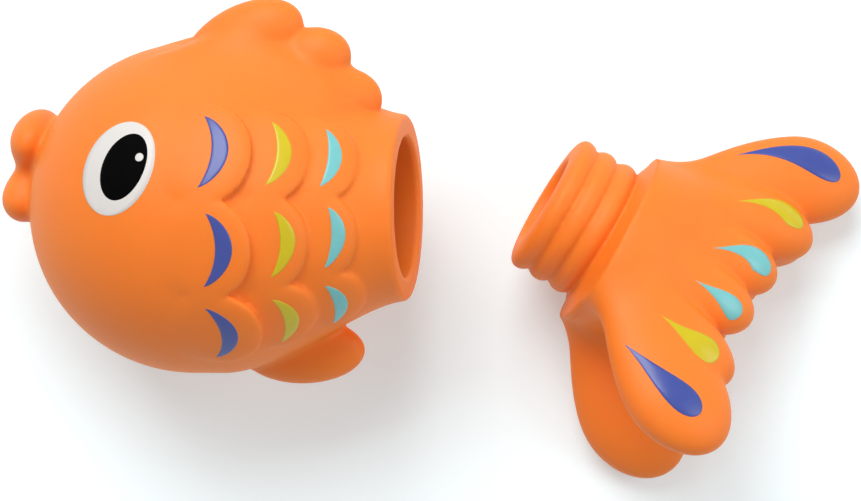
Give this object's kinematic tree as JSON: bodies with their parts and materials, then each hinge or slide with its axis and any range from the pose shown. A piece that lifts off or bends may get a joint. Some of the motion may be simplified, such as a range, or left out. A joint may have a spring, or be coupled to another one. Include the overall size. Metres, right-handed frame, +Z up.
{
  "type": "fish squirt bath toy",
  "caption": "Hollow soft vinyl fish squirter with a pull-out beaded tail plug, an open neck for rinsing, raised scales and painted marks.",
  "frame": {"origin": "middle of the toy's box on the table that both mouldings lie on", "axes": "+X from the fish's nose to the tail, +Y towards the back fin, +Z up, with the left flank up"},
  "size_m": [0.1662, 0.0926, 0.0649],
  "materials": {
    "orange_vinyl": "satin, soft, slightly translucent",
    "white_paint": "satin paint",
    "black_paint": "satin paint",
    "blue_paint": "satin paint",
    "yellow_paint": "satin paint",
    "aqua_paint": "satin paint"
  },
  "bodies": {
    "fish_body": {"body_shell": "orange_vinyl", "eye_white_left": "white_paint", "pupil_left": "black_paint", "eye_glint_left": "white_paint", "blue_crescent_upper_left": "blue_paint", "blue_crescent_middle_left": "blue_paint", "blue_crescent_lower_left": "blue_paint", "yellow_crescent_upper_left": "yellow_paint", "yellow_crescent_middle_left": "yellow_paint", "yellow_crescent_lower_left": "yellow_paint", "aqua_crescent_upper_left": "aqua_paint", "aqua_crescent_middle_left": "aqua_paint", "aqua_crescent_lower_left": "aqua_paint", "eye_white_right": "white_paint", "pupil_right": "black_paint", "eye_glint_right": "white_paint", "blue_crescent_upper_right": "blue_paint", "blue_crescent_middle_right": "blue_paint", "blue_crescent_lower_right": "blue_paint", "yellow_crescent_upper_right": "yellow_paint", "yellow_crescent_middle_right": "yellow_paint", "yellow_crescent_lower_right": "yellow_paint", "aqua_crescent_upper_right": "aqua_paint", "aqua_crescent_middle_right": "aqua_paint", "aqua_crescent_lower_right": "aqua_paint"},
    "tail": {"tail_shell": "orange_vinyl", "blue_drop_top_left": "blue_paint", "yellow_drop_upper_left": "yellow_paint", "aqua_drop_upper_left": "aqua_paint", "aqua_drop_lower_left": "aqua_paint", "yellow_drop_lower_left": "yellow_paint", "blue_drop_bottom_left": "blue_paint", "blue_drop_top_right": "blue_paint", "yellow_drop_upper_right": "yellow_paint", "aqua_drop_upper_right": "aqua_paint", "aqua_drop_lower_right": "aqua_paint", "yellow_drop_lower_right": "yellow_paint", "blue_drop_bottom_right": "blue_paint"}
  },
  "joints": [
    {"name": "tail_swing", "type": "hinge", "parent": "fish_body", "child": "tail", "pos_m": [-0.01306, -0.01746, -0.0015], "axis": [0.5461, -0.4682, 0.6947], "range_deg": [0, 45.2]}
  ]
}
